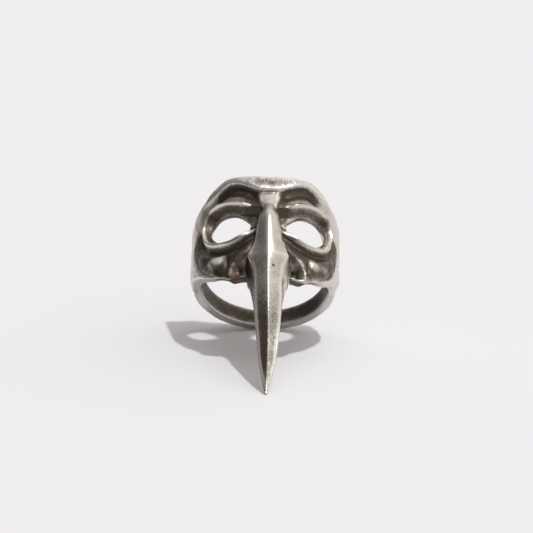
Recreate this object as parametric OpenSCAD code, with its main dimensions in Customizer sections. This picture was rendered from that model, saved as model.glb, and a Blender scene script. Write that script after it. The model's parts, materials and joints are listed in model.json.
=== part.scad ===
// Finger ring in the form of a beaked half-mask, in soldered pieces.
// It stands as it is displayed: on the tip of the beak and on a small flat filed under the shank.
//
// Every piece is drawn in the ring's own frame and placed once, at the end.
// Ring frame: Y runs along the finger, with the shank's front face at y = 0, the beak towards -Y and
// the forehead towards +Y. Z points out of the mask, and X runs across it. The bore's axis is Y.

/* [Finger] */
// Inside diameter of the ring
bore_d = 19; // [17:0.5:22]

/* [Shank] */
// Width of the shank at its narrowest, under the finger
shank_w = 2.8; // [2.4:0.1:3.6]
// Thickness of the shank
shank_t = 1.2; // [1:0.1:1.6]
// Width of the flat filed under the shank
foot_w = 4; // [2:0.5:5]

/* [Mask] */
// Thickness of the side bands
side_t = 1.6; // [1.4:0.1:2]
// Thickness of the mask between its carved details
plate_t = 1.65; // [1.4:0.05:2]
// Height of the eye rims above the plate
rim_h = 0.95; // [0.6:0.05:1.2]
// Height of the forehead's border above the plate
ridge_h = 0.6; // [0.3:0.05:0.9]

/* [Beak] */
// Reach of the beak's tip in front of the shank's front face
beak_reach = 26.4; // [24:0.2:30]
// Height of the beak's tip above the bore's axis
tip_z = 10.85; // [10.4:0.05:11.5]
// Height of the bridge of the nose above the bore's axis
bridge_z = 14.9; // [14:0.1:16]

/* [Hidden] */

$fn = 96;
bright_silver = [0.76, 0.74, 0.70];
silver = [0.60, 0.58, 0.54];
dark_silver = [0.40, 0.38, 0.34];
solder_grey = [0.68, 0.67, 0.64];

bore_r = bore_d / 2;
k = bore_d / 19;                    // the carved details grow with the finger size
side_r = bore_r + side_t;
shank_r = bore_r + shank_t;
plate_r = bore_r + plate_t;
socket_r = bore_r + 0.7;            // floor of the eye sockets
inside_r = bore_r - 0.5;            // pieces start inside the bore, which is then cut true
foot_z = sqrt(shank_r * shank_r - foot_w * foot_w / 4);
lean = atan2(tip_z + foot_z, beak_reach);
back_reach = shank_w * cos(lean) + foot_z * sin(lean);
joint_z = -1.4 * k;                 // top of the solder joints between side bands and shank
joint_t = 0.25;                     // thickness of a solder joint

// The line, seen from the side as [y, z], along which the cheeks end and the side bands begin
cheek_line = [[-4.5, 7.4] * k, [7, 1.2] * k];

// ---------- outlines ----------

// One point of a Catmull-Rom curve between b and c
function between(a, b, c, d, t) =
    0.5 * (2 * b + (c - a) * t + (2 * a - 5 * b + 4 * c - d) * t * t + (3 * b - a - 3 * c + d) * t * t * t);

// A smooth closed curve through the points p, with n steps between two of them
function closed_curve(p, n = 3) = let (c = len(p)) [
    for (i = [0 : c - 1], j = [0 : n - 1])
        between(p[(i + c - 1) % c], p[i], p[(i + 1) % c], p[(i + 2) % c], j / n)
];

// A smooth open curve through the points p
function open_curve(p, n = 3) = let (last = len(p) - 1) [
    for (i = [0 : last - 1], j = [0 : n - 1])
        between(p[max(i - 1, 0)], p[i], p[i + 1], p[min(i + 2, last)], j / n),
    p[last]
];

// Back and front edges of the hoop, as [angle from the middle of the mask, y]
back_edge = open_curve([
    [0, 12.4], [20, 12.65], [34, 12.8], [45, 12.0], [55, 11.1], [64, 10.4], [72, 9.7], [79, 8.8], [86, 7.4],
    [95, 5.4], [105, 4.1], [125, 3.2], [180, shank_w]
]);
front_edge = open_curve([
    [0, -6.0], [21, -5.9], [29, -5.8], [33, -5.3], [37, -4.9], [44, -4.3], [53, -3.7], [63, -2.7], [75, -1.3],
    [90, -0.3], [105, 0], [180, 0]
]);
function back_y(a) = lookup(abs(a), back_edge);
function front_y(a) = lookup(abs(a), front_edge);

// Carved lines on the right-hand side of the mask, seen from outside; the left-hand side mirrors them
eye_curve = closed_curve([
    [2.6, 4.2], [3.6, 5.6], [5.0, 6.6], [7.1, 6.7], [8.2, 5.3], [8.1, 3.5], [6.6, 2.4], [4.2, 2.95]
] * k);
rim_curve = closed_curve([
    [2.3, 5.2], [2.8, 6.7], [4.2, 7.4], [6.2, 7.95], [8.1, 8.0], [9.3, 6.9], [9.7, 4.9], [9.1, 2.9],
    [7.9, 1.3], [6.3, 0.85], [4.6, 1.4], [3.3, 2.1], [2.5, 3.3]
] * k);
ridge_curve = open_curve([
    [0, 9.9], [1.3, 10.0], [2.5, 10.4], [3.6, 11.0], [4.8, 11.5], [6.2, 11.6], [7.8, 10.9], [9.4, 9.6],
    [12, 6.6]
] * k);
nostril_curve = open_curve([
    [3.2, -1.0], [4.6, -1.7], [5.8, -3.0], [6.35, -4.4], [6.2, -5.6], [5.8, -7.5]
] * k);

function mirrored(c) = [for (i = [len(c) - 1 : -1 : 0]) [-c[i][0], c[i][1]]];

// Cross-sections of the nose and beak, from the root of the nose to the tip of the beak, each as
// [y, height of the keel, half-width at the side edges, their height, half-width at the foot, its height]
on_finger = inside_r * 0.9;
sections = [
    [7.0 * k, plate_r + 1.05, 0.7, plate_r + 0.65, 0.9, on_finger],
    [5.2 * k, bridge_z - 1.4, 1.1, bridge_z - 2.4, 1.3, on_finger],
    [3.8 * k, bridge_z - 0.5, 1.45, bridge_z - 1.9, 1.65, on_finger],
    [2.2 * k, bridge_z, 1.65, bridge_z - 1.6, 1.9, on_finger],
    [0.2 * k, bridge_z - 0.2, 1.8, bridge_z - 1.55, 2.2, on_finger],
    [-1.5 * k, bridge_z - 0.4, 2.15, bridge_z - 1.65, 2.55, on_finger],
    [-3.4 * k, bridge_z - 0.7, 2.95, bridge_z - 1.8, 3.1, on_finger],
    [-5.0 * k, bridge_z - 0.95, 2.35, bridge_z - 2.0, 3.05, on_finger],
    [-6.0 * k, bridge_z - 1.1, 2.15, bridge_z - 2.1, 2.95, on_finger],
    [-7.6 * k, bridge_z - 1.3, 2.05, bridge_z - 2.25, 2.6, bore_r + 0.4],
    [-0.43 * beak_reach, tip_z + 2.25, 2.0, tip_z + 1.4, 2.0, tip_z - 0.7],
    [-0.64 * beak_reach, tip_z + 1.5, 1.65, tip_z + 0.9, 1.55, tip_z - 0.5],
    [-0.815 * beak_reach, tip_z + 0.9, 1.15, tip_z + 0.5, 1.05, tip_z - 0.25],
    [-0.925 * beak_reach, tip_z + 0.6, 0.65, tip_z + 0.35, 0.55, tip_z - 0.1],
    [-beak_reach, tip_z + 0.4, 0.25, tip_z + 0.3, 0.2, tip_z]
];
foot_line = [for (s = sections) [s[4], s[0]]];
nose_outline = concat(foot_line, mirrored(foot_line));
forehead_outline = concat(ridge_curve, [[14 * k, 20 * k], [-14 * k, 20 * k]], mirrored(ridge_curve));
nostril_outline = concat([[0, -1.0 * k]], nostril_curve, [[0, -7.5 * k]]);

// ---------- relief ----------

function ease(a, b, v) = let (t = max(0, min(1, (v - a) / (b - a)))) t * t * (3 - 2 * t);
function bump(d, w) = exp(-d * d / (w * w));
function spot(p, c, w) = bump(norm(p - c * k), w * k);

function to_segment(p, a, b) =
    let (ab = b - a, t = max(0, min(1, (p - a) * ab / (ab * ab)))) norm(p - a - t * ab);
function to_line(p, c) = min([for (i = [0 : len(c) - 2]) to_segment(p, c[i], c[i + 1])]);
function to_loop(p, c) = min(to_line(p, c), to_segment(p, c[len(c) - 1], c[0]));
function crosses(p, a, b) =
    (a[1] > p[1]) != (b[1] > p[1]) && p[0] < (b[0] - a[0]) * (p[1] - a[1]) / (b[1] - a[1]) + a[0];
function inside(p, c) =
    len([for (i = [0 : len(c) - 1]) if (crosses(p, c[i], c[(i + 1) % len(c)])) 1]) % 2 == 1;

// Distance of the mask's surface from the bore's axis at q = [x, y], before the eyes are sunk
function ground(q) =
    plate_r
    + ridge_h * bump(to_line(q, ridge_curve), 0.7 * k)
    + 0.6 * spot(q, [0, 7.2], 1.4)
    + 0.7 * spot(q, [7.2, -2.3], 1.3)
    + 0.5 * spot(q, [9.0, -0.2], 1.6)
    + 0.7 * spot(q, [4.8, -2.8], 0.8)
    + 0.7 * spot(q, [5.7, -4.6], 0.8)
    - 0.5 * spot(q, [4.4, -4.9], 0.7)
    - 0.4 * spot(q, [4.0, 9.7], 1.1)
    - 0.4 * spot(q, [6.6, 10.2], 1.1);

function surface_r(p) = let (
    q = [abs(p[0]), p[1]],
    d = to_loop(q, rim_curve),
    crest = ground(q) + rim_h * bump(d, 0.75 * k)
) inside(q, rim_curve) ? crest + (socket_r - crest) * ease(0, 1.4 * k, d) : crest;

// The same at an angle a from the middle: the plan's x depends on the radius, so it is found in steps
function mask_r(a, y, r = plate_r, steps = 3) =
    steps == 0 ? r : mask_r(a, y, surface_r([r * sin(a), y]), steps - 1);

// ---------- building blocks ----------

// A patch of the mask's carved front: a grid over the surface, walls down to the radius inside_r round
// its edge, and a floor that meets at a hub. It spans the angles in across_a and the y values in along_y,
// as far as the mask itself reaches.
module carved(across_a, along_y, cols, rows) {
    top = [
        for (i = [0 : rows], j = [0 : cols])
            let (
                a = across_a[0] + (across_a[1] - across_a[0]) * j / cols,
                back = min(back_y(a), along_y[1]),
                front = max(front_y(a), along_y[0]),
                y = back + (front - back) * i / rows,
                r = mask_r(a, y)
            ) [r * sin(a), y, r * cos(a)]
    ];
    w = cols + 1;
    rim = concat(
        [for (j = [0 : cols]) j],
        [for (i = [1 : rows]) i * w + cols],
        [for (j = [cols - 1 : -1 : 0]) rows * w + j],
        [for (i = [rows - 1 : -1 : 1]) i * w]
    );
    low = [for (i = rim) let (p = top[i], s = inside_r / norm([p[0], p[2]])) [p[0] * s, p[1], p[2] * s]];
    hub = [0, (along_y[0] + along_y[1]) / 2, 0.1 * bore_r];
    t = len(top);
    n = len(rim);
    intersection() {
        above_cheek_line();
        polyhedron(
            points = concat(top, low, [hub]),
            faces = concat(
                [for (i = [0 : rows - 1], j = [0 : cols - 1]) let (a = i * w + j) [a, a + 1, a + w + 1]],
                [for (i = [0 : rows - 1], j = [0 : cols - 1]) let (a = i * w + j) [a, a + w + 1, a + w]],
                [for (i = [0 : n - 1]) [rim[i], t + i, rim[(i + 1) % n]]],
                [for (i = [0 : n - 1]) [rim[(i + 1) % n], t + i, t + (i + 1) % n]],
                [for (i = [0 : n - 1]) [t + i, t + n, t + (i + 1) % n]]
            )
        );
    }
}

// The finger's way through, a true cylinder
module bore() {
    rotate([90, 0, 0]) cylinder(r = bore_r, h = 80, center = true);
}

// The plan of an eye's bezel, out to the foot of its rim
module eye_zone() {
    offset(delta = 0.7 * k) polygon(rim_curve);
}

// A prism that stands on shapes drawn in the plan
module over() {
    linear_extrude(height = 20 * k) children();
}

// A prism through the ring on an outline seen from the side, whose points are [y, z]
module across(outline) {
    rotate([90, 0, 90]) linear_extrude(height = 40 * k, center = true) polygon(outline);
}

// Everything on the forehead's side of the cheek line
module above_cheek_line() {
    along = cheek_line[1] - cheek_line[0];
    up = [-along[1], along[0]];
    across([
        cheek_line[0] - 4 * along,
        cheek_line[1] + 4 * along,
        cheek_line[1] + 4 * along + 4 * up,
        cheek_line[0] - 4 * along + 4 * up
    ]);
}

// A hoop of outside radius r, with its edges in sweeps, between the heights z0 and z1
module hoop(r, z0, z1) {
    step = 3;
    sides = concat(
        [for (a = [0 : step : 180]) [back_y(a), r * cos(a)]],
        [for (a = [180 : -step : 0]) [front_y(a), r * cos(a)]]
    );
    difference() {
        intersection() {
            rotate([90, 0, 0]) cylinder(r = r, h = 60 * k, center = true);
            across(sides);
            translate([-20 * k, -30 * k, z0]) cube([40 * k, 60 * k, z1 - z0]);
        }
        bore();
    }
}

// The part of a hoop on the right-hand side
module right_side() {
    intersection() {
        children();
        translate([0, -30 * k, -20 * k]) cube(60 * k);
    }
}

// ---------- pieces ----------

module face_plate() {
    color(dark_silver) difference() {
        carved([-86, 86], [-20, 20], 50, 28);
        over() {
            polygon(nose_outline);
            polygon(forehead_outline);
            for (side = [0, 1]) mirror([side, 0]) {
                eye_zone();
                polygon(nostril_outline);
            }
        }
        bore();
    }
}

module forehead_band() {
    color(bright_silver) difference() {
        intersection() {
            carved([-86, 86], [4, 20], 68, 12);
            over() polygon(forehead_outline);
        }
        bore();
    }
}

module eye_bezel() {
    color(silver) difference() {
        intersection() {
            carved([-86, 86], [-2, 9.5], 76, 28);
            over() difference() {
                eye_zone();
                polygon(nose_outline);
                polygon(eye_curve);
            }
        }
        bore();
    }
}

module nostril() {
    color(silver) difference() {
        intersection() {
            carved([4, 46], [-20, -1], 22, 14);
            over() difference() {
                polygon(nostril_outline);
                polygon(nose_outline);
            }
        }
        bore();
    }
}

// The nose and the beak, as one keeled beam with a flat underside
module beak() {
    m = len(sections);
    points = [
        for (s = sections) each [
            [0, s[0], s[1]],
            [s[2], s[0], s[3]],
            [s[4], s[0], min(s[3] - 0.1, plate_r + 0.35)],
            [s[4], s[0], s[5]],
            [-s[4], s[0], s[5]],
            [-s[4], s[0], min(s[3] - 0.1, plate_r + 0.35)],
            [-s[2], s[0], s[3]]
        ]
    ];
    ring = 7;
    color(silver) difference() {
        polyhedron(
            points = points,
            faces = concat(
                [[for (j = [ring - 1 : -1 : 0]) j]],
                [for (i = [0 : m - 2], j = [0 : ring - 1])
                    let (a = i * ring + j, b = i * ring + (j + 1) % ring) [a, b, a + ring]],
                [for (i = [0 : m - 2], j = [0 : ring - 1])
                    let (a = i * ring + j, b = i * ring + (j + 1) % ring) [b, b + ring, a + ring]],
                [[for (j = [0 : ring - 1]) (m - 1) * ring + j]]
            )
        );
        bore();
    }
}

module side_band() {
    color(bright_silver) difference() {
        right_side() hoop(side_r, joint_z, 9 * k);
        above_cheek_line();
    }
}

module shank_joint() {
    color(solder_grey) right_side() hoop((side_r + shank_r) / 2, joint_z - joint_t, joint_z);
}

module shank() {
    color(silver) hoop(shank_r, -foot_z, joint_z - joint_t);
}

// From the ring's own frame to standing on the beak and the shank, with the origin under the middle
module place() {
    tip_y = beak_reach * cos(lean) + (tip_z + 0.4) * sin(lean);
    translate([0, (tip_y - back_reach) / 2, foot_z * cos(lean)]) rotate([lean, 0, 0]) children();
}

place() face_plate();
place() forehead_band();
place() mirror([1, 0, 0]) eye_bezel();  // left_eye_bezel
place() eye_bezel();  // right_eye_bezel
place() beak();
place() mirror([1, 0, 0]) nostril();  // left_nostril
place() nostril();  // right_nostril
place() mirror([1, 0, 0]) side_band();  // left_side_band
place() side_band();  // right_side_band
place() mirror([1, 0, 0]) shank_joint();  // left_shank_joint
place() shank_joint();  // right_shank_joint
place() shank();
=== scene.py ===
"""A finger ring in the form of a beaked half-mask, standing on its beak and its shank on a pale table.

The ring is modelled in its own frame, in millimetres: Y runs along the finger, with the beak towards -Y,
Z out of the mask and X across it. One implicit solid, whole(), holds all the shapes. Each piece is that
solid inside its own region, meshed with surface nets.
"""
import json
import math

import bpy
import numpy as np
from mathutils import Matrix, Vector


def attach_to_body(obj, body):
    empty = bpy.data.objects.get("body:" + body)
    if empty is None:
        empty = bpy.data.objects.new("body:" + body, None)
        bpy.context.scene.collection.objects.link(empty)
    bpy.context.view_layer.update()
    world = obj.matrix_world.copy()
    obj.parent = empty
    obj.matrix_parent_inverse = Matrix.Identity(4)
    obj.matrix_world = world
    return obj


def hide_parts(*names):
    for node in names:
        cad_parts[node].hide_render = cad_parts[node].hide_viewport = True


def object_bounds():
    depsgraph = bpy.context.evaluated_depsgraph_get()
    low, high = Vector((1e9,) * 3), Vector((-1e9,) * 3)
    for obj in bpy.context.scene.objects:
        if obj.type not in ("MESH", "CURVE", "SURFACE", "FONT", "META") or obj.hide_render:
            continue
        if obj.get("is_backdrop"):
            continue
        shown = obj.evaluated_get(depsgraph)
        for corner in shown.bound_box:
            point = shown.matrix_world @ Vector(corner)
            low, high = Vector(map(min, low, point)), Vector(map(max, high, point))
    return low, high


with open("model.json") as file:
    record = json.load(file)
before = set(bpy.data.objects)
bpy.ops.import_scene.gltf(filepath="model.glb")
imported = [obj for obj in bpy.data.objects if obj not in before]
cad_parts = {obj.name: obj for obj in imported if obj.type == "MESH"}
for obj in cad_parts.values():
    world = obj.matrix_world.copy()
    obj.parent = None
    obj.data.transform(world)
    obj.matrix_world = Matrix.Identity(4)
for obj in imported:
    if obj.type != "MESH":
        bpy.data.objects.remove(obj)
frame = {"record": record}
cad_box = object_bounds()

MM = 0.001
bore = next(m for m in frame["record"]["mounts"] if m["name"] == "finger_bore")
BORE_R = bore["dims"]["r_mm"]
WALL_MIDDLE = 2.7725                        # of the bore's wall, behind the shank's front face
AXIS = np.array(bore["axis"])               # ring Y in the frame
OUT = np.array([0, -AXIS[2], AXIS[1]])      # ring Z in the frame
ORIGIN = np.array(bore["pos_m"]) / MM - WALL_MIDDLE * AXIS


def to_frame(p):
    """Ring coordinates in mm to the frame's metres."""
    return (ORIGIN + p[:, :1] * [1, 0, 0] + p[:, 1:2] * AXIS + p[:, 2:3] * OUT) * MM


# ---------- curves and blends ----------

def spline(points, closed=False, steps=8):
    """A Catmull-Rom curve through the points."""
    p = np.array(points, float)
    if closed:
        a, b, c, d = np.roll(p, 1, 0), p, np.roll(p, -1, 0), np.roll(p, -2, 0)
    else:
        padded = np.vstack([2 * p[0] - p[1], p, 2 * p[-1] - p[-2]])
        a, b, c, d = padded[:-3], padded[1:-2], padded[2:-1], padded[3:]
    t = (np.arange(steps) / steps)[:, None, None]
    q = 0.5 * (2 * b + (c - a) * t + (2 * a - 5 * b + 4 * c - d) * t**2 + (3 * b - a - 3 * c + d) * t**3)
    q = q.transpose(1, 0, 2).reshape(-1, p.shape[1])
    return q if closed else np.vstack([q, p[-1:]])


def graph(points):
    """A smooth function through (x, y) points with x rising, level beyond its ends."""
    q = spline(points, steps=12)
    keep = np.concatenate([[True], np.diff(np.maximum.accumulate(q[:, 0])) > 0])
    return lambda x: np.interp(x, q[keep, 0], q[keep, 1])


def ease(a, b, x):
    """Goes smoothly from 0 at x = a to 1 at x = b, whichever of the two is larger."""
    t = np.clip((x - a) / (b - a), 0, 1)
    return t * t * (3 - 2 * t)


def bump(d, w):
    """1 where d is 0, fading out over the width w."""
    return np.exp(-(d / w) ** 2)


def smooth_min(a, b, k):
    """The lower of a and b, rounded over k where they meet."""
    h = np.clip(0.5 + 0.5 * (b - a) / k, 0, 1)
    return b + (a - b) * h - k * h * (1 - h)


def smooth_max(a, b, k):
    """The higher of a and b, rounded over k where they meet."""
    return -smooth_min(-a, -b, k)


def distance(u, v, line, closed=False):
    """Distance from the points (u, v) to a line of points."""
    best = np.full(u.shape, 1e9)
    ends = np.roll(line, -1, 0) if closed else line[1:]
    for (ax, ay), (bx, by) in zip(line, ends):
        dx, dy = bx - ax, by - ay
        t = np.clip(((u - ax) * dx + (v - ay) * dy) / max(dx * dx + dy * dy, 1e-12), 0, 1)
        np.minimum(best, (u - ax - t * dx) ** 2 + (v - ay - t * dy) ** 2, out=best)
    return np.sqrt(best)


def signed(u, v, loop):
    """Distance to a closed outline, negative inside."""
    inside = np.zeros(u.shape, bool)
    for (ax, ay), (bx, by) in zip(loop, np.roll(loop, -1, 0)):
        if ay != by:
            inside ^= ((ay > v) != (by > v)) & (u < (bx - ax) * (v - ay) / (by - ay) + ax)
    return np.where(inside, -1, 1) * distance(u, v, loop, True)


class Table:
    """Values on a regular grid over (u, v), read between its points."""

    def __init__(self, u0, v0, step, values):
        self.u0, self.v0, self.step, self.values = u0, v0, step, values

    def __call__(self, u, v):
        n, m = self.values.shape
        a = np.clip((u - self.u0) / self.step, 0, n - 1.001)
        b = np.clip((v - self.v0) / self.step, 0, m - 1.001)
        i, j = a.astype(np.int32), b.astype(np.int32)
        a, b = a - i, b - j
        g = self.values
        return ((g[i, j] * (1 - a) + g[i + 1, j] * a) * (1 - b)
                + (g[i, j + 1] * (1 - a) + g[i + 1, j + 1] * a) * b)


def lumps(shape, step, size, seed):
    """Smooth random unevenness about as coarse as size, with a spread of 1."""
    rng = np.random.default_rng(seed)
    n = [int(s * step / size) + 4 for s in shape]
    coarse = Table(0, 0, 1, rng.standard_normal(n))
    u, v = np.meshgrid(*[np.arange(s) * step / size for s in shape], indexing="ij")
    smooth = lambda t: np.floor(t) + ease(0, 1, t - np.floor(t))
    return coarse(smooth(u) + 1, smooth(v) + 1)


# ---------- the mask's outlines, on the right-hand side ----------
# A plan point is (w, y): w is the arc from the middle of the mask, at a radius of ARC_R.

ARC_R = 11.46
DEG = math.radians(1) * ARC_R       # arc of one degree
PLATE_R = 11.1                      # of the mask, without its relief
SIDE_R = 11.3                       # of the side bands
SHANK_R = 10.7                      # of the shank
JOINT_W = 97.5 * DEG                # where the shank is soldered to the side bands
ROOT_Y = 8.2                        # where the nose begins, under the forehead
BEAK_TIP_Y = -26.4
MASK_TURN = 0.35                    # the mask sits turned this far to the right on the hoop

# The two edges give y along w. rim_line runs round the eye, with lid_line its lower part, ridge_line along
# the brow and wing_line along the nostril's rolled wing. cheek_zone is the sunk part of the cheek.
back_edge = graph([(0, 12.4), (4.5, 12.75), (6.8, 12.85), (9, 12.0), (11, 11.1), (12.8, 10.5), (14.4, 9.75),
                   (15.8, 8.8), (17.2, 7.4), (19, 5.4), (21, 4.1), (25, 3.2), (36, 2.8)])
front_edge = graph([(0, -5.7), (4.2, -5.6), (5.8, -5.5), (6.5, -5.0), (7.3, -4.55), (8.8, -3.9),
                    (10.6, -3.4), (12.6, -2.5), (15, -1.3), (18, -0.3), (21, 0), (36, 0)])
lower_lid = [(10.25, 2.85), (8.8, 1.4), (7.3, 0.95), (6.0, 1.0), (4.5, 1.5), (3.2, 2.15), (2.2, 2.6)]
lid_line = spline(lower_lid)
rim_line = spline([(0.9, 6.3), (2.2, 6.8), (3.9, 7.35), (5.4, 7.85), (7.0, 8.2), (8.6, 8.25), (10.05, 7.7),
                   (10.95, 6.3), (11.0, 4.6), *lower_lid, (1.0, 3.5), (0.7, 5.0)], True)
ridge_line = spline([(0, 9.9), (1.3, 10.0), (2.4, 10.4), (3.5, 11.0), (4.7, 11.6), (6.1, 11.95), (7.2, 11.7),
                     (8.5, 11.0), (10.2, 10.3), (12, 9.4), (14, 8.2)])
eye_hole = spline([(2.55, 4.2), (3.5, 5.7), (5.0, 6.75), (7.1, 6.95), (8.25, 5.5), (8.05, 3.5), (6.6, 2.25),
                   (4.2, 2.9)], True)
wing_line = spline([(1.9, 1.4), (2.5, -0.2), (3.2, -1.5), (4.2, -2.3), (5.1, -3.3), (5.7, -4.6),
                    (5.75, -5.7), (5.0, -6.4), (4.1, -6.5)])
cheek_zone = spline([(11.0, 5.4), (12.3, 5.7), (13.5, 5.1), (14.0, 3.6), (13.5, 1.3), (11.7, -1.9),
                     (10.1, -3.4), (8.2, -4.7), (6.6, -5.8), (2.4, -6.6), (2.0, 2.2), (6.0, 0.7),
                     (9.7, 2.3)], True)
nostril_outline = spline([(2.4, -0.7), (3.9, -1.2), (5.3, -2.4), (6.2, -3.7), (6.4, -4.9), (6.3, -8),
                          (2, -8), (2, -3)], True)


def plan(x, z):
    """The arc w of a point, below 0 on the left."""
    return np.arctan2(x, z) * ARC_R


def mask_turn(w):
    """How far the mask is turned at the arc w: the turn fades out down its sides."""
    return MASK_TURN * ease(17, 12, w)


# ---------- the relief: distance of the surface from the bore's axis ----------

STEP = 0.06                         # between the points of the tables over the plan
U = np.arange(-36.2, 36.2, STEP)
V = np.arange(-9, 15, STEP)
w_grid, y_grid = np.meshgrid(np.abs(U - mask_turn(np.abs(U))), V, indexing="ij")
left_grid = np.where(U < 0, 1.0, 0.0)[:, None]
right_grid = 1 - left_grid
rim_d = signed(w_grid, y_grid, rim_line)
ridge_d = distance(w_grid, y_grid, ridge_line)
wing_d = distance(w_grid, y_grid, wing_line)
lid_d = distance(w_grid, y_grid, lid_line)
zone_d = signed(w_grid, y_grid, cheek_zone)
behind_ridge = y_grid - np.interp(w_grid, ridge_line[:, 0], ridge_line[:, 1])


def spot(w, y, size_w, size_y=None):
    """1 at the plan point (w, y), fading out around it."""
    return np.exp(-((w_grid - w) / size_w) ** 2 - ((y_grid - y) / (size_y or size_w)) ** 2)


def groove():
    """The hollow that runs over the eye, in front of the ridge: 1 along its bottom."""
    bottom = bump(behind_ridge + 1.3, 1.15) * ease(1.2, 2.8, w_grid) * ease(11.6, 8.4, w_grid)
    return bottom * ease(0.0, 1.5, rim_d)


def relief():
    """The radius of the surface over the plan. The factors are heights and depths in mm."""
    crown = 0.25 * np.cos(np.clip(w_grid / 12, 0, 1) * math.pi / 2)
    r = PLATE_R + crown
    # the brow ridge: a long slope behind it and a short one in front
    ridge = np.where(behind_ridge > 0, 0.45 * bump(ridge_d, 1.5), 0.5 * bump(ridge_d, 0.3))
    r += ridge * ease(15, 10, w_grid)
    r += 0.55 * spot(0, 7.2, 1.1, 1.5)                          # root of the nose
    r -= 0.60 * groove()
    r += 0.62 * spot(7.3 + 1.2 * left_grid, -2.3, 1.6 - 0.5 * left_grid, 1.1)   # cheek
    r += 0.60 * spot(10.6, -0.2, 1.9, 2.0)                      # its outer part
    r -= 0.40 * spot(6.3, -3.2, 0.4, 1.5)                       # crease beside the nostril
    r -= 0.50 * ease(0.0, 0.6, rim_d) * bump(lid_d - 1.2, 0.6)  # furrow under the lower lid
    r += 0.72 * bump(wing_d, 0.9) * ease(2.0, -1.6, y_grid)     # rolled nostril wing, and the fold above it
    r -= (0.75 - 0.4 * left_grid) * spot(4.4, -4.8, 0.6, 0.8)   # its cavity
    # the raised lid outside rim_line, and the sunk socket inside it
    lower = ease(4.2, 2.2, y_grid)
    lid = 0.72 - 0.3 * lower * ease(8.5, 5.5, w_grid)
    width = 0.34 + 0.22 * ease(9, 10.4, w_grid) + 0.22 * lower
    r += lid * bump(np.maximum(rim_d, 0), width) * ease(2.4, 4.4, w_grid)
    socket = BORE_R + 0.75
    inward = 0.5 * ease(0.0, 1.25, -rim_d) + 0.5 * (1 - np.clip(1 + rim_d / 1.3, 0, 1) ** 2)
    r = np.where(rim_d < 0, r + (socket - r) * inward, r)
    # outside the cheek the plain side band, with a fine line between them
    outer = ease(60 * DEG, 72 * DEG, w_grid)
    r = r + (SIDE_R - r) * outer * 0.85
    behind_front = ease(-4.0, -1.5, y_grid - 0.6 * (w_grid - 12))
    plain = ease(0.0, 0.7, zone_d) * behind_front * ease(10.2, 12.2, w_grid)
    r = r + (SIDE_R - r) * plain * 0.8
    r -= 0.16 * bump(zone_d + 0.1, 0.25) * ease(7, 9, w_grid) * ease(5.5, 3, y_grid)
    # below that the shank, with a small step at the left joint
    shank = SHANK_R + 0.05 * left_grid
    step = 0.16 * left_grid
    r = r + (shank + step - r) * ease(76 * DEG, 96 * DEG, w_grid)
    return r + (shank - r) * ease(JOINT_W - 0.05, JOINT_W + 0.3, w_grid)


def stains_wear_and_painted_light():
    """Where the silver is brighter than its shape alone would have it (below 0), or darker: stains and worn
    places, and painted highlights, painted reflections and painted shade.
    """
    above = left_grid * ease(99 * DEG, 84 * DEG, w_grid) + right_grid * ease(124 * DEG, 98 * DEG, w_grid)
    # sockets: dark with oxide and painted shade, the left one darker still as painted shade, most of all at
    # their outer end, and lighter beside the lower lid as a painted highlight
    inside = ease(0.0, 0.35, -rim_d)
    b = (0.10 + 0.05 * left_grid) * inside
    b += 0.05 * inside * ease(8.2, 9.8, w_grid) * ease(8.0, 6.0, y_grid)
    b -= 0.12 * inside * bump(lid_d, 0.9) * ease(10.4, 8.0, w_grid)
    # worn rims, and dark hollows over them
    b -= 0.16 * bump(rim_d - 0.05, 0.24) * ease(2.2, 3.6, w_grid)
    b += (0.22 - 0.06 * right_grid) * groove()
    # cheeks: dark, with painted highlights on their swellings
    b += 0.10 * ease(0.5, -0.5, zone_d) * ease(0.1, 0.7, rim_d)
    b -= (0.16 + 0.18 * left_grid) * spot(7.2 + 0.7 * left_grid, -2.4 + 0.6 * left_grid, 0.9, 0.7)
    b -= 0.12 * spot(9.6, -1.8, 0.8, 0.5)
    b += 0.05 * spot(10.8, 0.3, 1.3, 1.5)
    # side bands: lighter, a painted reflection
    b -= 0.17 * ease(-0.3, 0.6, zone_d) * ease(8.5, 10.5, w_grid) * ease(0.3, 0.9, rim_d) * above
    # forehead: stains in its middle and at the outer ends of the hollows, painted shade at their inner ends,
    # and a worn ridge
    b += 0.07 * spot(0, 11.3, 4.2, 1.1) + 0.08 * right_grid * spot(4.3, 11.9, 1.2, 0.7)
    # painted shade in the inner corners of the sockets, by the nose
    b += 0.12 * spot(1.9, 6.9, 0.8, 0.8)
    b += 0.25 * left_grid * spot(12.1, 10.3, 0.7, 0.6) + 0.15 * right_grid * spot(12.1, 9.6, 0.5, 0.7)
    b -= 0.02 * ease(0, 0.5, behind_ridge)
    b -= 0.10 * bump(ridge_d, 0.3)
    # root of the nose: lighter, a painted highlight, with dark flanks
    root = ease(0.8, -0.5, w_grid - 0.70 - 0.24 * (y_grid - 6))
    root_reach = ease(9.1, 8.3, y_grid) * ease(4.2, 5.4, y_grid)
    b += root_reach * ((0.12 + 0.07 * left_grid) * ease(4.4, 1.8, w_grid) * (1 - root) - 0.32 * root)
    b -= 0.04 * spot(0, 9.3, 1.3, 0.6)
    # nostrils: dark, worn on top, and darkest at the left one's mouth
    b += (0.06 * left_grid + 0.12) * bump(wing_d, 0.8) * ease(1.0, -1.6, y_grid)
    b -= (0.14 - 0.04 * left_grid) * spot(4.3, -4.0, 1.3, 1.6)
    b += 0.22 * left_grid * spot(3.8, -5.4, 1.0, 0.8)
    # the left cheek's front edge, the bright outer end of the hollows, and the shank
    b += 0.14 * left_grid * bump(y_grid - front_edge(w_grid), 0.5) * ease(9.5, 7.5, w_grid)
    b -= 0.22 * spot(8.9, 9.5, 1.2, 1.0)
    b += 0.09 * (1 - above)
    return b


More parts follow.
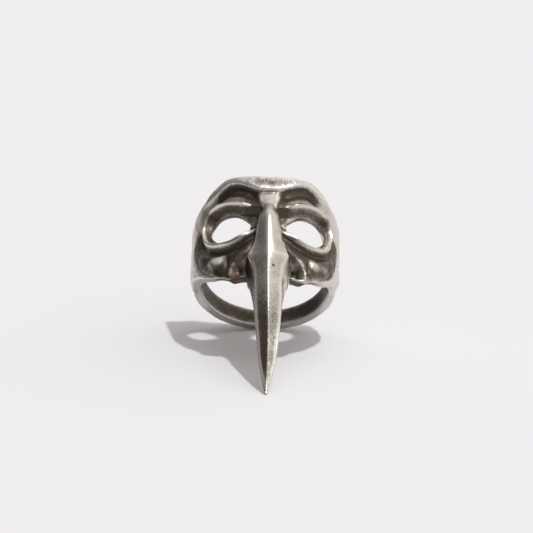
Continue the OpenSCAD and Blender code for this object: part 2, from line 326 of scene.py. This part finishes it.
def over_plan(values):
    """A function of (w, y), with w below 0 on the left."""
    return Table(U[0], V[0], STEP, values)


RIM_W = 0.85                        # the eye bezels reach this far out from rim_line
RIDGE_W = 0.5                       # the forehead band reaches this far in front of ridge_line

radius = relief()
radius += 0.028 * lumps(radius.shape, STEP, 1.3, 3) + 0.016 * lumps(radius.shape, STEP, 0.5, 4)
slope_u, slope_v = np.gradient(radius, STEP)
surface_r = over_plan(radius)
# stains and worn places, with painted highlights, reflections and shade, over the plan
plan_bias_with_painted_light = over_plan(stains_wear_and_painted_light())
flatten = over_plan(1 / np.sqrt(1 + slope_u**2 + slope_v**2))     # from a height to a distance
rim_region = over_plan(rim_d - RIM_W)
ridge_region = over_plan(-(behind_ridge + RIDGE_W) * 0.85)        # 0.85 for the line's slope
nostril_region = over_plan(signed(w_grid, y_grid, nostril_outline))
hole_x, hole_y = np.meshgrid(np.arange(0, 12, STEP), np.arange(-2, 10, STEP), indexing="ij")
hole_d = Table(0, -2, STEP, signed(hole_x, hole_y, eye_hole))


# ---------- the nose and beak: values along y ----------

def along(points):
    """A smooth function through (y, value) points with y falling."""
    q = graph([(-y, value) for y, value in points])
    return lambda y: q(-y)


# keel_z, edge_z and base_z are the heights of the keel, of the edges beside it and of the underside. edge_w
# and foot_w are the half widths at the edges and at the foot of the walls. drift bends it all to the right.
keel_z = along([(ROOT_Y, 11.0), (7.0, 11.9), (5.6, 13.1), (4.0, 14.35), (2.5, 14.9), (0, 14.75), (-3, 14.25),
                (-7, 13.7), (-11.3, 13.1), (-16.8, 12.35), (-22.2, 11.6), (BEAK_TIP_Y, 11.15)])
edge_w = along([(ROOT_Y, 0.3), (6.4, 0.7), (5.0, 1.15), (3.8, 1.45), (2.2, 1.63), (0.4, 1.76), (-1.5, 2.12),
                (-2.7, 2.62), (-3.5, 2.95), (-4.0, 2.8), (-5.0, 2.36), (-7.0, 2.06), (-9, 2.03),
                (-11.3, 1.98), (-16.8, 1.66), (-20.5, 1.3), (-23, 0.9), (-25, 0.5), (BEAK_TIP_Y, 0.2)])
edge_z = along([(ROOT_Y, 11.0), (6.4, 11.9), (4.3, 12.8), (2.4, 13.2), (0, 13.35), (-3, 13.1), (-7, 12.75),
                (-11.3, 12.25), (-16.8, 11.75), (-22.2, 11.25), (BEAK_TIP_Y, 11.0)])
foot_w = along([(ROOT_Y, 0.8), (6.4, 0.95), (4.3, 1.5), (2.4, 1.8), (0.6, 2.05), (-1.4, 2.5), (-3.0, 3.05),
                (-4.3, 3.1), (-6.4, 2.95), (-7.7, 2.6), (-9.2, 2.3), (-11.3, 2.02), (-16.8, 1.6),
                (-20.5, 1.22), (-23, 0.82), (-25, 0.45), (BEAK_TIP_Y, 0.16)])
base_z = along([(ROOT_Y, 9.0), (-5.7, 9.0), (-6.3, 9.5), (-7.4, 9.9), (-11.3, 10.15), (-16.8, 10.35),
                (-22.2, 10.6), (BEAK_TIP_Y, 10.86)])
keel_round = along([(ROOT_Y, 1.0), (5, 0.9), (3, 0.9), (0, 0.8), (-2.5, 0.5), (-4, 0.18), (-8, 0.07),
                    (BEAK_TIP_Y, 0.03)])
drift = along([(ROOT_Y, 0.3), (0, 0.38), (-6, 0.42), (-11, 0.52), (-17, 0.64), (BEAK_TIP_Y, 0.6)])


def nose(x, y, z):
    """The nose and beak: two facets that meet at the keel, side walls, and an underside."""
    offset = x - drift(y)
    x = np.abs(offset)
    top_z, side_w, side_z, low_w = keel_z(y), edge_w(y), edge_z(y), foot_w(y)
    # the facets: run is the way from the keel to the edge, rounded over the keel
    rounding = keel_round(y)
    slope = (top_z - side_z) / side_w
    run = np.sqrt(x * x + rounding**2) - rounding
    run = run * side_w / (np.sqrt(side_w**2 + rounding**2) - rounding)
    swell = (0.04 + 0.32 * ease(-6, -2, y)) * ease(0, 0.2, offset)      # only of the right-hand facet
    run = run * (1 - swell + swell * np.minimum(run / side_w, 1.2))
    facet = (z - top_z + slope * run) / np.sqrt(1 + slope**2)
    # the walls lean outwards down to low_z, and are upright below it
    low_z = np.maximum(base_z(y), 11.2 - 1.1 * ease(-6.5, -8.5, y))
    draft = (low_w - side_w) / np.maximum(side_z - low_z, 0.3)
    wall = (x - side_w - draft * (side_z - np.maximum(z, low_z))) / np.sqrt(1 + draft**2)
    f = smooth_max(facet, wall, 0.09)
    f = smooth_max(f, base_z(y) - z, 0.12)
    return np.maximum(f, np.maximum(y - ROOT_Y, BEAK_TIP_Y - y))


# ---------- the whole solid ----------

EYE_SHIFT = 0.3                     # the eye holes lie this far to the right of the bore's axis
FRONT_SLANT = 0.33                  # the mask's front edge slants back towards the finger
FOOT_HALF = 2                       # half the width of the flat under the shank


def hoop(x, y, z):
    """The mask's shell and the shank, with the eye holes cut out."""
    rho = np.hypot(x, z)
    signed_w = plan(x, z)
    w = np.abs(signed_w)
    turned_w = np.abs(signed_w - mask_turn(w))
    f = (rho - surface_r(signed_w, y)) * flatten(signed_w, y)
    f = smooth_max(f, y - back_edge(turned_w), 0.35)
    # the front edge is rounded most just above the joints
    rounding = (0.12 + 0.13 * ease(21, 19, w) + 0.55 * bump(w - 86 * DEG, 3.5)
                + 0.35 * bump(turned_w - 4.8, 1.5))
    front = front_edge(turned_w) - FRONT_SLANT * (rho - BORE_R) * ease(12, 9, turned_w)
    f = smooth_max(f, (front - y) * 0.9, rounding)
    # the eye holes widen towards the front on the inside
    undercut = 0.9 * ease(10.9, 9.8, rho)
    across = np.abs(x - EYE_SHIFT)
    opening = np.where(z > 0, np.minimum(hole_d(across, y), hole_d(across, y + undercut)), 9)
    return smooth_max(f, -opening, 0.22)


def whole(x, y, z):
    """The distance to the ring's surface, about: negative in the metal."""
    f = smooth_min(hoop(x, y, z), nose(x, y, z), 0.3 + 0.3 * ease(4, 7, y))
    return smooth_max(f, BORE_R - np.hypot(x, z), 0.08)


def foot_flat(x, y, z):
    """The flat filed under the shank."""
    return -z - math.sqrt(SHANK_R**2 - FOOT_HALF**2)


# ---------- regions of the pieces: negative inside ----------

CHEEK_Z, CHEEK_SLOPE = 4.97, 0.54   # the side bands begin below a plane that falls towards the back
JOINT_Z = -1.4                      # top of the solder joints
JOINT_T = 0.25                      # and their thickness
LAP = 0.06                          # neighbours run this far into each other, but meet flat at the joints


def above_cheek(x, y, z):
    return (CHEEK_Z - CHEEK_SLOPE * y - z) * 0.88       # the cosine of the slope


def in_nose(x, y, z):
    """Between the feet of the nose's walls, and a little beyond them."""
    return np.abs(x - drift(y)) - foot_w(y) - 0.12


def in_forehead(x, y, z):
    return ridge_region(plan(x, z), y)


def in_eye(x, y, z):
    return rim_region(plan(x, z), y)


def in_nostril(x, y, z):
    return nostril_region(plan(x, z), y)


def slab(z0, z1):
    """Between two heights. It takes off the lap that cut() adds, so its flat faces stay where they are."""
    return lambda x, y, z: np.maximum(z0 - z, z - z1) + LAP


def half(side):
    """The right half where side is 1, the left one where it is -1."""
    return lambda x, y, z: -side * x


def cut(*conditions):
    """whole() inside every condition; a condition (f, -1) is outside f."""
    def field(x, y, z):
        f = whole(x, y, z)
        for g, sign in conditions:
            f = np.maximum(f, sign * g(x, y, z) - LAP)
        return f
    return field


def shank_field(x, y, z):
    """What lies under the joints, with its flat."""
    below = z - JOINT_Z + JOINT_T
    return np.maximum(np.maximum(whole(x, y, z), below), foot_flat(x, y, z))


# ---------- meshing ----------

LAYERS = 24                         # layers of a grid that are worked out at a time


def sample(field, lo, hi, h):
    """Values of the field on a grid, outside all round its border."""
    axes = [np.arange(a - 2 * h, b + 2.5 * h, h) for a, b in zip(lo, hi)]
    x, y, z = np.meshgrid(*axes, indexing="ij")
    values = np.empty(x.shape, np.float32)
    for i in range(0, len(axes[0]), LAYERS):
        part = slice(i, i + LAYERS)
        values[part] = field(x[part], y[part], z[part])
    for axis in range(3):
        edge = [slice(None)] * 3
        for end in (0, -1):
            edge[axis] = end
            values[tuple(edge)] = h
    return values, np.array([a[0] for a in axes])


def surface_nets(values, start, h):
    """Vertices and quads of the surface where the values change sign."""
    inside = values < 0
    shape = np.array(values.shape) - 1
    corner = lambda a, o: a[o[0]:o[0] + shape[0], o[1]:o[1] + shape[1], o[2]:o[2] + shape[2]]
    offsets = [(i, j, k) for i in (0, 1) for j in (0, 1) for k in (0, 1)]
    # a vertex in each cell that the surface goes through, amid its crossings with the cell's edges
    count = sum(corner(inside, o).astype(np.int8) for o in offsets)
    active = (count > 0) & (count < 8)
    index = np.full(active.shape, -1, np.int64)
    index[active] = np.arange(active.sum())
    total = np.zeros((active.sum(), 3))
    hits = np.zeros(active.sum())
    for o in offsets:
        for axis in range(3):
            if o[axis]:
                continue
            far = tuple(v + (n == axis) for n, v in enumerate(o))
            f0, f1 = corner(values, o)[active], corner(values, far)[active]
            crossing = (f0 < 0) != (f1 < 0)
            t = np.where(crossing, f0 / np.where(crossing, f0 - f1, 1), 0)
            point = np.array(o) + t[:, None] * np.eye(3)[axis]
            total += point * crossing[:, None]
            hits += crossing
    cells = np.argwhere(active)
    vertices = start + (cells + total / hits[:, None]) * h
    # a quad round each grid edge that the surface crosses
    quads = []
    for axis in range(3):
        b, c = (axis + 1) % 3, (axis + 2) % 3
        near = [slice(1, -1)] * 3
        near[axis] = slice(0, -1)
        far = list(near)
        far[axis] = slice(1, None)
        here, there = inside[tuple(near)], inside[tuple(far)]
        at = np.argwhere(here != there)
        outward = here[tuple(at.T)]
        at[:, b] += 1
        at[:, c] += 1
        ring = []
        for db, dc in ((-1, -1), (0, -1), (0, 0), (-1, 0)):
            cell = at.copy()
            cell[:, b] += db
            cell[:, c] += dc
            ring.append(index[tuple(cell.T)])
        ring = np.stack(ring, 1)
        ring[~outward] = ring[~outward][:, ::-1]
        quads.append(ring)
    return vertices, np.vstack(quads)


def settle(points, field, h, rounds=3):
    """Moves points onto the surface along the field's gradient."""
    e = 0.3 * h
    for _ in range(rounds):
        f = field(*points.T)
        slopes = [(field(*(points + e * d).T) - field(*(points - e * d).T)) / (2 * e) for d in np.eye(3)]
        g = np.stack(slopes, 1)
        move = -(f / np.maximum((g * g).sum(1), 0.2))[:, None] * g
        length = np.linalg.norm(move, axis=1, keepdims=True)
        points = points + move * np.minimum(1, 0.5 * h / np.maximum(length, 1e-9))
    return points


def relax(points, quads):
    """Evens out the spacing of the points."""
    n = len(points)
    a = quads.ravel()
    b = np.roll(quads, -1, 1).ravel()
    total = np.zeros_like(points)
    hits = np.bincount(a, minlength=n) + np.bincount(b, minlength=n)
    for axis in range(3):
        total[:, axis] = np.bincount(a, points[b, axis], n) + np.bincount(b, points[a, axis], n)
    return 0.5 * points + 0.5 * total / hits[:, None]


# ---------- cavities: how much metal surrounds a point of the surface ----------

def box_blur(a, n):
    """Three box blurs along each axis, over n cells to either side."""
    span = 2 * n + 1
    for axis in range(3):
        pad = [(0, 0)] * 3
        pad[axis] = (n + 1, n)
        ahead = tuple(slice(span, None) if k == axis else slice(None) for k in range(3))
        behind = tuple(slice(None, -span) if k == axis else slice(None) for k in range(3))
        for _ in range(3):
            c = np.cumsum(np.pad(a, pad, mode="edge"), axis=axis, dtype=np.float64)
            a = ((c[ahead] - c[behind]) / span).astype(np.float32)
    return a


class Surround:
    """Share of metal around a point, at a fine and a broad scale."""

    H = 0.2                         # size of a cell

    def __init__(self):
        values, self.start = sample(whole, (-12.5, BEAK_TIP_Y - 1, -11.5), (12.5, 14, 16), self.H)
        metal = np.clip(0.5 - values / (2 * self.H), 0, 1)
        self.fine, self.broad = box_blur(metal, 1), box_blur(metal, 4)

    def read(self, a, p):
        """One of the two shares at the points p."""
        q = (p - self.start) / self.H
        i = np.clip(q.astype(int), 0, np.array(a.shape) - 2)
        f = np.clip(q - i, 0, 1)
        total = 0
        for o in np.ndindex(2, 2, 2):
            weight = np.prod([f[:, n] if o[n] else 1 - f[:, n] for n in range(3)], axis=0)
            total = total + weight * a[i[:, 0] + o[0], i[:, 1] + o[1], i[:, 2] + o[2]]
        return total


surround = Surround()


# ---------- what the material reads at each point ----------

PIT_X, PIT_Y = 1.18, -5.65          # a deep pit on the beak's right-hand facet


def beak_bias(points):
    """The beak's bias, facet by facet, in the same terms as the plan's: lighter near the bend and darker
    towards the tip, with painted shade and painted highlights.
    """
    x, y, z = points.T
    offset = x - drift(y)
    beside = z - edge_z(y)
    to_left = ease(0.1, -0.2, offset)
    b = -0.03 - 0.04 * ease(-4, 2, y) + 0.10 * ease(-8, -15, y) + 0.14 * ease(-17, -24, y)
    # the left facet darker: stained, and painted shade
    b += to_left * (0.04 + 0.08 * ease(-10, -22, y) - 0.12 * ease(-21, -25, y))
    # the keel darker below the bend: painted shade that dims its highlight
    b += 0.10 * bump(offset, 0.12) * ease(-3, -6, y)                # the keel
    # the left wall darker and the right one lighter: painted shade and painted light
    b += (0.28 * to_left - 0.13) * ease(-0.12, -0.35, beside)       # the side walls
    # the edges lighter: worn, and on the left a painted highlight
    b -= (0.10 + 0.30 * to_left) * bump(beside, 0.12)               # the edges above them
    return b + 0.6 * bump(np.hypot(x - PIT_X, y - PIT_Y), 0.13)


def bias_with_painted_light(points, on_beak):
    """The plan's bias at each point, with the beak's own bias, the bore, and a painted highlight along the
    shank's front edge.
    """
    x, y, z = points.T
    w = plan(x, z)
    bias = plan_bias_with_painted_light(w, y)
    if on_beak:
        below_bend = ease(5.2, 3.2, y)
        bias = bias * (1 - below_bend) + beak_bias(points) * below_bend
    on_wall = ease(BORE_R + 0.15, BORE_R + 0.03, np.hypot(x, z))
    bias = bias * (1 - on_wall) + 0.16 * on_wall
    on_shank = ease(97 * DEG, 100 * DEG, np.abs(w))
    # a painted highlight along the shank's front edge
    return bias - 0.30 * bump(y - front_edge(np.abs(w)) - 0.05, 0.16) * on_shank


def copper_stain(points):
    """Two spots on the left nostril, a strong one and a faint one."""
    x, y, z = points.T
    w = plan(x, z)
    return bump(np.hypot(w + 4.1, y + 5.5), 0.55) + 0.15 * bump(np.hypot(w + 3.2, y + 4.0), 0.6)


def attach(mesh, label, values):
    """Stores a number or a vector at each vertex."""
    kind, key = ("FLOAT", "value") if values.ndim == 1 else ("FLOAT_VECTOR", "vector")
    mesh.attributes.new(label, kind, "POINT").data.foreach_set(key, values.astype(np.float32).ravel())


def make_piece(name, field, lo, hi, material, slot, h=0.13):
    """Meshes the field between the corners lo and hi, and stands it in for the CAD node of that name."""
    values, start = sample(field, lo, hi, h)
    points, quads = surface_nets(values, start, h)
    points = settle(points, field, h)
    points = settle(relax(points, quads), field, h, 2)
    mesh = bpy.data.meshes.new(name + "_cast")
    mesh.from_pydata(to_frame(points).tolist(), [], quads.tolist())
    mesh.shade_smooth()
    attach(mesh, "fine", surround.read(surround.fine, points))
    attach(mesh, "broad", surround.read(surround.broad, points))
    attach(mesh, "bias", bias_with_painted_light(points, name == "beak"))
    attach(mesh, "red", copper_stain(points))
    attach(mesh, "ring", points)
    mesh.materials.append(material)
    obj = bpy.data.objects.new(name + "_cast", mesh)
    bpy.context.scene.collection.objects.link(obj)
    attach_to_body(obj, "root")
    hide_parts(name)


# ---------- materials ----------

DARK = (0.090, 0.076, 0.060)        # the oxide
WARM = (0.95, 0.84, 0.70)           # tint of its warmer patches
COPPER = (0.40, 0.22, 0.15)
PIT_COLOUR = (0.03, 0.026, 0.02)
OXIDE_AT = (0.34, 0.60)             # share of metal around a point where the oxide starts, and is full


class Nodes:
    """The node tree of a material or world, emptied, and short ways to fill it. Noise scales are per mm."""

    def __init__(self, owner):
        owner.use_nodes = True
        self.tree = owner.node_tree
        self.tree.nodes.clear()
        self.link = self.tree.links.new

    def add(self, kind, **values):
        """A new node. Each value is one of its inputs or settings."""
        n = self.tree.nodes.new(kind)
        for key, value in values.items():
            if key in n.inputs:
                n.inputs[key].default_value = value
            else:
                setattr(n, key, value)
        return n

    def maths(self, operation, a, b, clamp):
        n = self.add("ShaderNodeMath", operation=operation, use_clamp=clamp)
        for socket, value in zip(n.inputs, (a, b)):
            if isinstance(value, (int, float)):
                socket.default_value = value
            else:
                self.link(value, socket)
        return n.outputs[0]

    def plus(self, a, b, clamp=False):
        return self.maths("ADD", a, b, clamp)

    def minus(self, a, b, clamp=False):
        return self.maths("SUBTRACT", a, b, clamp)

    def times(self, a, b, clamp=False):
        return self.maths("MULTIPLY", a, b, clamp)

    def attribute(self, label, output="Fac"):
        return self.add("ShaderNodeAttribute", attribute_name=label).outputs[output]

    def noise(self, place, scale, detail=4, roughness=0.55):
        n = self.add("ShaderNodeTexNoise", Scale=scale, Detail=detail, Roughness=roughness)
        self.link(place, n.inputs["Vector"])
        return n.outputs["Fac"]

    def ramp(self, value, start, end, low=0, high=1):
        """Goes smoothly from low to high while the value goes from start to end."""
        n = self.add("ShaderNodeMapRange", interpolation_type="SMOOTHSTEP")
        for label, number in (("From Min", start), ("From Max", end), ("To Min", low), ("To Max", high)):
            n.inputs[label].default_value = number
        self.link(value, n.inputs["Value"])
        return n.outputs["Result"]

    def mix(self, under, over, share, blend="MIX"):
        """The colour over laid on the colour under, a plain one or a node's."""
        n = self.add("ShaderNodeMix", data_type="RGBA", blend_type=blend)
        if isinstance(under, tuple):
            n.inputs["A"].default_value = (*under, 1)
        else:
            self.link(under, n.inputs["A"])
        n.inputs["B"].default_value = (*over, 1)
        self.link(share, n.inputs["Factor"])
        return n.outputs["Result"]


def file_marks(t, place):
    """Fine marks that run along the finger."""
    stretch = t.add("ShaderNodeVectorMath", operation="MULTIPLY")
    stretch.inputs[1].default_value = (3.6, 0.35, 0.35)
    t.link(place, stretch.inputs[0])
    return t.noise(stretch.outputs["Vector"], 1.0, 5, 0.7)


def oxide_and_painted_light_share(t, place, grain, marks, filed):
    """1 where the oxide is full: it gathers where metal surrounds a point, in uneven patches, and the bias
    attribute adds stains, worn places, painted shade and painted highlights.
    """
    metal = t.plus(t.times(t.attribute("fine"), 0.45), t.times(t.attribute("broad"), 0.55))
    metal = t.plus(metal, t.attribute("bias"))
    for texture, strength in ((t.noise(place, 0.55, 5), 0.12), (grain, 0.34), (marks, 0.13 * filed)):
        metal = t.plus(metal, t.times(t.minus(texture, 0.5), strength))
    return t.ramp(metal, *OXIDE_AT)


def casting_pits(t, place):
    """1 in the pits, which are small and scattered."""
    cells = t.add("ShaderNodeTexVoronoi", feature="F1", Scale=0.85, Randomness=1.0)
    t.link(place, cells.inputs["Vector"])
    pit = t.times(t.minus(1, t.times(cells.outputs["Distance"], 7), True), 2, True)
    return t.times(pit, t.maths("GREATER_THAN", t.noise(place, 2.3, 1), 0.56, False))


def silver_colour(t, place, bright, grain, oxide, pit):
    """Bright metal under oxide, warmer here and there, with copper where the oxide has rubbed off."""
    colour = t.mix(bright, DARK, oxide)
    warmth = t.times(t.minus(t.noise(place, 0.9, 3), 0.45, True), 1.6, True)
    colour = t.mix(colour, WARM, warmth, "MULTIPLY")
    share = t.times(t.attribute("red"), t.plus(grain, 0.25))
    blotch = t.times(t.minus(t.noise(place, 0.75, 4, 0.6), 0.60, True), 1.2, True)
    colour = t.mix(colour, COPPER, t.plus(share, t.times(blotch, oxide), True))
    return t.mix(colour, PIT_COLOUR, t.times(pit, 0.9))


def silver(name, bright, roughness=0.32, filed=0.0):
    """Cast silver: bright where it is worn, oxidised where metal surrounds it, pitted and finely scratched.
    filed is the strength of the file marks."""
    material = bpy.data.materials.new(name)
    t = Nodes(material)
    place = t.attribute("ring", "Vector")
    grain = t.noise(place, 3.4, 6, 0.8)
    speck = t.noise(place, 14.0, 3, 0.6)
    marks = file_marks(t, place)
    # oxide, with the painted shade and highlights that the bias attribute carries
    oxide = oxide_and_painted_light_share(t, place, grain, marks, filed)
    pit = casting_pits(t, place)

    shine = t.plus(t.times(oxide, 0.16), t.times(t.minus(grain, 0.5), 0.25))
    shine = t.plus(t.times(pit, 0.3), t.plus(shine, roughness), True)

    height = t.plus(t.times(grain, 0.6), t.times(speck, 0.3))
    height = t.minus(height, t.times(pit, 1.2))
    height = t.plus(height, t.times(marks, filed))
    bumps = t.add("ShaderNodeBump", Strength=0.35, Distance=0.00006)
    t.link(height, bumps.inputs["Height"])

    shader = t.add("ShaderNodeBsdfPrincipled", Metallic=1.0)
    t.link(silver_colour(t, place, bright, grain, oxide, pit), shader.inputs["Base Color"])
    t.link(shine, shader.inputs["Roughness"])
    t.link(bumps.outputs["Normal"], shader.inputs["Normal"])
    out = t.add("ShaderNodeOutputMaterial")
    t.link(shader.outputs["BSDF"], out.inputs["Surface"])
    return material


worn = silver("worn_silver", (0.72, 0.69, 0.665), 0.38, 2.8)
oxidised = silver("oxidised_silver", (0.66, 0.63, 0.56), 0.32)
relief_silver = silver("relief_silver", (0.70, 0.665, 0.595), 0.30)
beak_silver = silver("beak_silver", (0.68, 0.655, 0.60), 0.28, 0.7)
shank_silver = silver("shank_silver", (0.66, 0.63, 0.595), 0.36, 0.5)
solder = silver("solder", (0.68, 0.65, 0.62), 0.42)


# ---------- pieces ----------

IN, NOT = 1, -1


def side_box(side, x, y, z):
    """The corners of a box on one side of the middle, from pairs of limits; x counts outwards."""
    near, far = sorted((side * x[0], side * x[1]))
    return (near, y[0], z[0]), (far, y[1], z[1])


make_piece("face_plate",
           cut((above_cheek, IN), (in_nose, NOT), (in_forehead, NOT), (in_eye, NOT), (in_nostril, NOT)),
           (-12.2, -7.2, 1), (12.2, 13, 13), oxidised, "oxidised_silver")
make_piece("forehead_band", cut((above_cheek, IN), (in_forehead, IN)),
           (-12.2, 5, 1), (12.2, 13.2, 13), worn, "worn_silver")
make_piece("beak", cut((in_nose, IN), (in_forehead, NOT)),
           (-4, BEAK_TIP_Y, 9), (4, 10.2, 15.4), beak_silver, "beak_silver", 0.1)
make_piece("shank", shank_field,
           (-11.5, -0.5, -11.2), (11.5, 6, -1), shank_silver, "shank_silver")
for side, label in ((-1, "left"), (1, "right")):
    on_side = (half(side), IN)
    make_piece(label + "_eye_bezel",
               cut((above_cheek, IN), (in_eye, IN), (in_nose, NOT), (in_forehead, NOT), on_side),
               *side_box(side, (1, 12), (-2, 9.5), (3, 13)), relief_silver, "relief_silver")
    make_piece(label + "_nostril",
               cut((above_cheek, IN), (in_nostril, IN), (in_nose, NOT), (in_eye, NOT), on_side),
               *side_box(side, (1, 12), (-7.4, 0), (6, 13.5)), relief_silver, "relief_silver", 0.11)
    make_piece(label + "_side_band", cut((above_cheek, NOT), (slab(JOINT_Z, 9), IN), on_side),
               *side_box(side, (4, 12), (-6, 10), (-2, 8.5)), worn, "worn_silver")
    make_piece(label + "_shank_joint", cut((slab(JOINT_Z - JOINT_T, JOINT_Z), IN), on_side),
               *side_box(side, (4, 12), (-1, 6), (-2, -1)), solder, "solder", 0.08)


# ---------- table, light and camera ----------

BRIGHT_SIDE = Vector((0.60, 0.35, 0.72))        # of the sky: right, behind and above
SUN_DIRECTION = Vector((-0.26, 0.24, -1))       # the way its light goes
TABLE_HALF = 1.5


def sky():
    """Soft light that is strongest from one side."""
    world = bpy.data.worlds.new("studio")
    bpy.context.scene.world = world
    t = Nodes(world)
    light = t.add("ShaderNodeVectorMath", operation="DOT_PRODUCT")
    light.inputs[1].default_value = BRIGHT_SIDE.normalized()
    t.link(t.add("ShaderNodeTexCoord").outputs["Generated"], light.inputs[0])
    background = t.add("ShaderNodeBackground", Color=(1.0, 0.955, 0.935, 1))
    t.link(t.ramp(light.outputs["Value"], -0.35, 0.9, 0.04, 0.92), background.inputs["Strength"])
    out = t.add("ShaderNodeOutputWorld")
    t.link(background.outputs["Background"], out.inputs["Surface"])


def sun():
    """A sun high at the front right: the shadow falls to the left and a little behind."""
    light = bpy.data.lights.new("sun", "SUN")
    light.energy = 1.59
    light.color = (0.955, 0.985, 1.0)
    light.angle = math.radians(3.0)
    lamp = bpy.data.objects.new("sun", light)
    lamp.rotation_euler = SUN_DIRECTION.to_track_quat("-Z", "Y").to_euler()
    bpy.context.scene.collection.objects.link(lamp)


def table():
    mesh = bpy.data.meshes.new("table")
    n = TABLE_HALF
    mesh.from_pydata([(-n, -n, 0), (n, -n, 0), (n, n, 0), (-n, n, 0)], [], [(0, 1, 2, 3)])
    material = bpy.data.materials.new("table")
    material.use_nodes = True
    shader = material.node_tree.nodes["Principled BSDF"]
    shader.inputs["Base Color"].default_value = (0.80, 0.79, 0.80, 1)
    shader.inputs["Roughness"].default_value = 0.9
    mesh.materials.append(material)
    obj = bpy.data.objects.new("table", mesh)
    bpy.context.scene.collection.objects.link(obj)
    obj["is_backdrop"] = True


def photo_camera():
    """Eye level a little above the table, square to the mask, aimed so that the ring fills the middle."""
    elevation, roll = math.radians(16), math.radians(1.585)
    distance_m, lens = 0.4, 179.7
    aim_right, aim_up = 0.00129, 0.02809        # off the line to the table under the bore, as tangents
    under_bore = Vector((0, ORIGIN[1] * MM, 0))
    back = Vector((0, -math.cos(elevation), math.sin(elevation)))
    right = Vector((1, 0, 0))
    up = right.cross(-back)
    turned_right = right * math.cos(roll) + up * math.sin(roll)
    turned_up = -right * math.sin(roll) + up * math.cos(roll)
    aim = (-back + turned_right * aim_right + turned_up * aim_up).normalized()
    z = -aim
    x = (turned_right - z * turned_right.dot(z)).normalized()
    y = z.cross(x)
    camera = bpy.data.cameras.new("camera")
    camera.lens = lens
    camera.sensor_width = 36
    obj = bpy.data.objects.new("camera", camera)
    rotation = Matrix((x, y, z)).transposed().to_4x4()
    obj.matrix_world = Matrix.Translation(under_bore + back * distance_m) @ rotation
    bpy.context.scene.collection.objects.link(obj)
    bpy.context.scene.camera = obj


sky()
sun()
table()
photo_camera()
bpy.context.scene.view_settings.view_transform = "Standard"

as_lists = lambda box: [[float(v) for v in corner] for corner in box]
{"cad": as_lists(cad_box), "visual": as_lists(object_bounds())}
